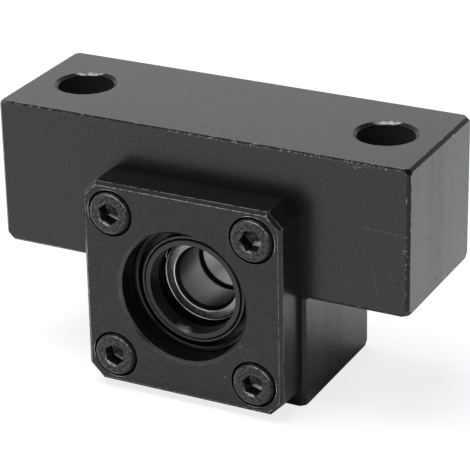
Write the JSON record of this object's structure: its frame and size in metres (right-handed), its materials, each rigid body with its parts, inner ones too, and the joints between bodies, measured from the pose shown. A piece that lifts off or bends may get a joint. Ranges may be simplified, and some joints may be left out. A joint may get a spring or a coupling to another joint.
{
  "type": "ball screw end support",
  "caption": "T-shaped steel support block that holds the fixed end of a ball screw: sealed angular contact bearing pair under a square screwed cover.",
  "frame": {"origin": "on the bearing axis, at the middle of the bearing pair", "axes": "Y along the bearing axis with the cover facing -Y; +Z out of the wide mounting face; X along the row of mounting holes"},
  "size_m": [0.07, 0.0305, 0.043],
  "materials": {
    "black_steel": "black oxide, semi-gloss",
    "black_cover": "black oxide, semi-gloss",
    "black_screw": "black oxide, semi-gloss",
    "seal_rubber": "moulded",
    "spring_steel": "drawn",
    "bearing_steel": "ground",
    "cage_plastic": "laminated phenolic",
    "ball_steel": "polished"
  },
  "bodies": {
    "support": {"housing": "black_steel", "cover": "black_cover", "cover_screws": "black_screw", "front_seal": "seal_rubber", "rear_seal": "seal_rubber", "front_seal_spring": "spring_steel", "rear_seal_spring": "spring_steel", "front_outer_ring": "bearing_steel", "rear_outer_ring": "bearing_steel"},
    "inner_rings": {"front_inner_ring": "bearing_steel", "rear_inner_ring": "bearing_steel"},
    "front_cage_set": {"front_cage": "cage_plastic", "front_ball_1": "ball_steel", "front_ball_2": "ball_steel", "front_ball_3": "ball_steel", "front_ball_4": "ball_steel", "front_ball_5": "ball_steel", "front_ball_6": "ball_steel", "front_ball_7": "ball_steel", "front_ball_8": "ball_steel", "front_ball_9": "ball_steel"},
    "rear_cage_set": {"rear_cage": "cage_plastic", "rear_ball_1": "ball_steel", "rear_ball_2": "ball_steel", "rear_ball_3": "ball_steel", "rear_ball_4": "ball_steel", "rear_ball_5": "ball_steel", "rear_ball_6": "ball_steel", "rear_ball_7": "ball_steel", "rear_ball_8": "ball_steel", "rear_ball_9": "ball_steel"}
  },
  "joints": [
    {"name": "inner_rings_turn", "type": "hinge", "parent": "support", "child": "inner_rings", "pos_m": [0, 0, 0], "axis": [0, 1, 0], "continuous": true},
    {"name": "front_cage_turn", "type": "hinge", "parent": "support", "child": "front_cage_set", "pos_m": [0, 0, 0], "axis": [0, 1, 0], "continuous": true},
    {"name": "rear_cage_turn", "type": "hinge", "parent": "support", "child": "rear_cage_set", "pos_m": [0, 0, 0], "axis": [0, 1, 0], "continuous": true}
  ],
  "couplings": [
    {"joint": "front_cage_turn", "follows": "inner_rings_turn", "ratio": 0.3854},
    {"joint": "rear_cage_turn", "follows": "inner_rings_turn", "ratio": 0.3854}
  ]
}
